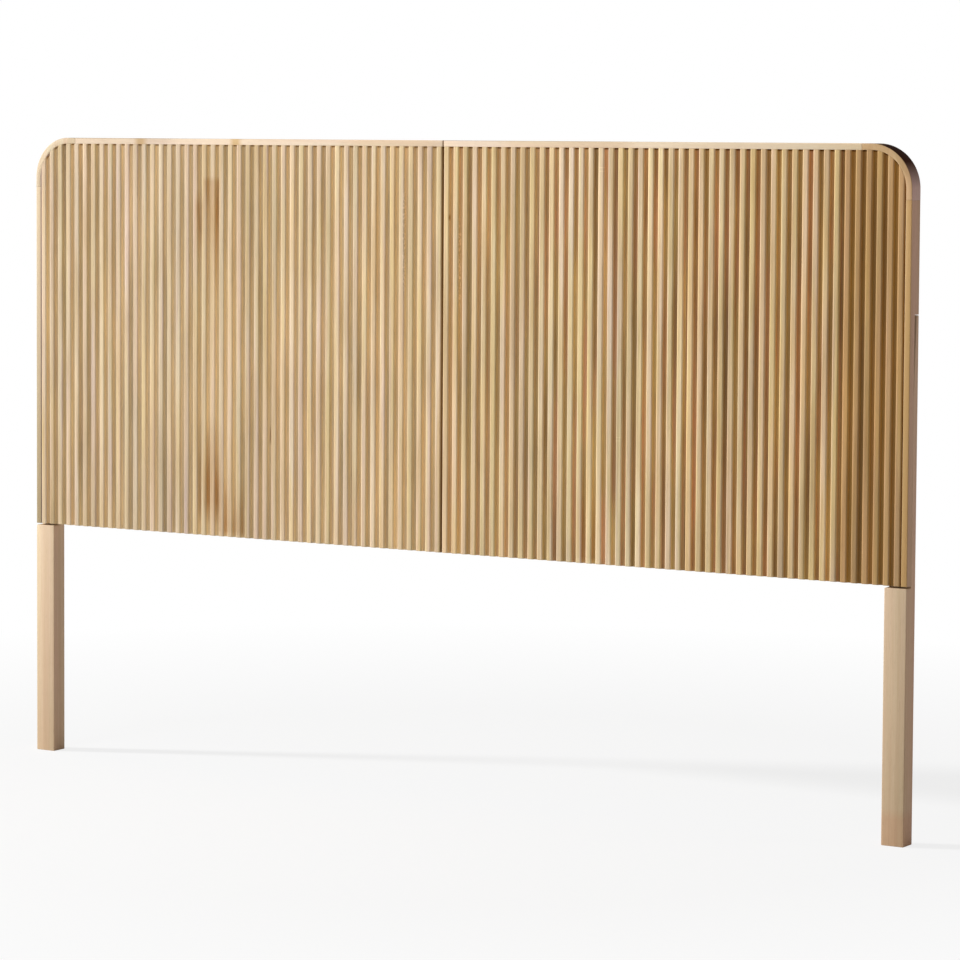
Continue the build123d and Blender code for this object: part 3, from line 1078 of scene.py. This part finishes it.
def centres(node):
    return [((lows.x + highs.x) / 2, (lows.z + highs.z) / 2) for lows, highs in island_boxes(node)]


# Legs and their fasteners
bolt_centres = centres("leg_bolts")
shoulder = board_bottom - shoulder_gap
taper_start = tongue_top - tongue_taper_height
tip_front = board_back + tongue_taper_depth
for name, side in SIDES.items():
    own = [(x, z) for x, z in bolt_centres if x * side > 0]
    node = f"{name}_leg"
    piece = leg(node, shoulder, taper_start, tip_front, own)
    finish_piece(piece, node, leg_wood, "leg_wood", LEG_TINTS[name])

# Rails and stiles
screw_centres = centres("rail_screws")
for node in nodes:
    if node.endswith("_rail"):
        finish_piece(screwed_board(node, screw_centres), node, rail_wood_across, "frame_wood")
    elif node.endswith("_centre_stile"):
        finish_piece(screwed_board(node, screw_centres), node, rail_wood_up, "frame_wood")

fasteners = {
    "leg_bolts": [hex_bolt(x, z) for x, z in bolt_centres],
    "leg_washers": [washer(x, z) for x, z in bolt_centres],
    "seam_bolts": [seam_bolt(lows, highs) for lows, highs in island_boxes("seam_bolts")],
    "seam_sleeve_nuts": [sleeve_nut(lows, highs) for lows, highs in island_boxes("seam_sleeve_nuts")],
    "rail_screws": [rail_screw(lows, highs) for lows, highs in island_boxes("rail_screws")],
}
for node, groups in fasteners.items():
    joined = join(f"visual_{node}", [part for group in groups for part in group])
    finish_piece(joined, node, zinc_steel, "zinc_steel")

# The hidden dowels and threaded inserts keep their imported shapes
for node, material in {"seam_dowels": rail_wood_across, "leg_inserts": zinc_steel}.items():
    nodes[node].data.materials.clear()
    nodes[node].data.materials.append(material)


# Stage, light and camera
def floor_material():
    tree = Tree("floor")
    speckle = tree.noise(tree.place, speckle_count, fine_detail)
    tree.feed(tree.shader.inputs["Base Color"], tree.mix(speckle, FLOOR_DIM, FLOOR_PALE))
    tree.feed(tree.shader.inputs["Roughness"], floor_roughness)
    glow = tree.add("ShaderNodeEmission", {"Color": WHITE, "Strength": 1.0})
    camera_ray = tree.add("ShaderNodeLightPath").outputs["Is Camera Ray"]
    distance = tree.add("ShaderNodeVectorMath", {0: tree.place}, operation="LENGTH").outputs["Value"]
    faded = tree.remap(distance, floor_fade_start, floor_fade_end, floor_glow_share, 1.0)
    share = tree.maths("MULTIPLY", camera_ray, faded)
    blend = tree.add("ShaderNodeMixShader", {0: share, 1: tree.shader.outputs[0], 2: glow.outputs[0]})
    tree.feed(tree.nodes["Material Output"].inputs["Surface"], blend.outputs[0])
    return tree.material


def add_floor():
    corners = [(x * floor_span, y * floor_span, 0) for x, y in ((-1, -1), (1, -1), (1, 1), (-1, 1))]
    floor = mesh_from("floor", corners, [(0, 1, 2, 3)])
    floor.data.materials.append(floor_material())


def add_lamp(name, place, target, size, power):
    light = bpy.data.lights.new(name, "AREA")
    light.shape = "DISK"
    light.size = size
    light.energy = power
    lamp = new_object(name, light)
    lamp.location = place
    lamp.rotation_euler = (Vector(target) - Vector(place)).to_track_quat("-Z", "Y").to_euler()


# White to the camera, a weak even light to everything else
def add_room_light():
    world = bpy.data.worlds.new("studio")
    world.use_nodes = True
    bpy.context.scene.world = world
    room, links = world.node_tree.nodes, world.node_tree.links
    paths = room.new("ShaderNodeLightPath")
    seen = room.new("ShaderNodeMath")
    seen.operation = "MAXIMUM"
    strength = room.new("ShaderNodeMapRange")
    strength.inputs["To Min"].default_value = room_light_share
    room["Background"].inputs["Color"].default_value = WHITE
    links.new(paths.outputs["Is Camera Ray"], seen.inputs[0])
    links.new(paths.outputs["Is Transmission Ray"], seen.inputs[1])
    links.new(seen.outputs[0], strength.inputs["Value"])
    links.new(strength.outputs[0], room["Background"].inputs["Strength"])


# The view is rolled a little about its own axis and shifted on the sensor
def add_camera():
    lens = bpy.data.cameras.new("camera")
    lens.lens = camera_lens
    lens.sensor_width = camera_sensor
    lens.shift_y = camera_shift
    lens.clip_end = camera_reach
    camera = new_object("camera", lens)
    ahead = Vector((-math.sin(camera_yaw), math.cos(camera_yaw), 0))
    right = Vector((math.cos(camera_yaw), math.sin(camera_yaw), 0))
    forward = math.cos(camera_pitch) * ahead - math.sin(camera_pitch) * Z_STEP
    up = math.sin(camera_pitch) * ahead + math.cos(camera_pitch) * Z_STEP
    rolled_right = math.cos(camera_roll) * right + math.sin(camera_roll) * up
    rolled_up = math.cos(camera_roll) * up - math.sin(camera_roll) * right
    turn = Matrix((rolled_right, rolled_up, -forward)).transposed()
    camera.matrix_world = Matrix.Translation(camera_place) @ turn.to_4x4()
    bpy.context.scene.camera = camera


add_floor()
for name, (place, target, size, power) in LAMPS.items():
    add_lamp(name, place, target, size, power)
add_room_light()
add_camera()
bpy.context.scene.view_settings.view_transform = "Standard"
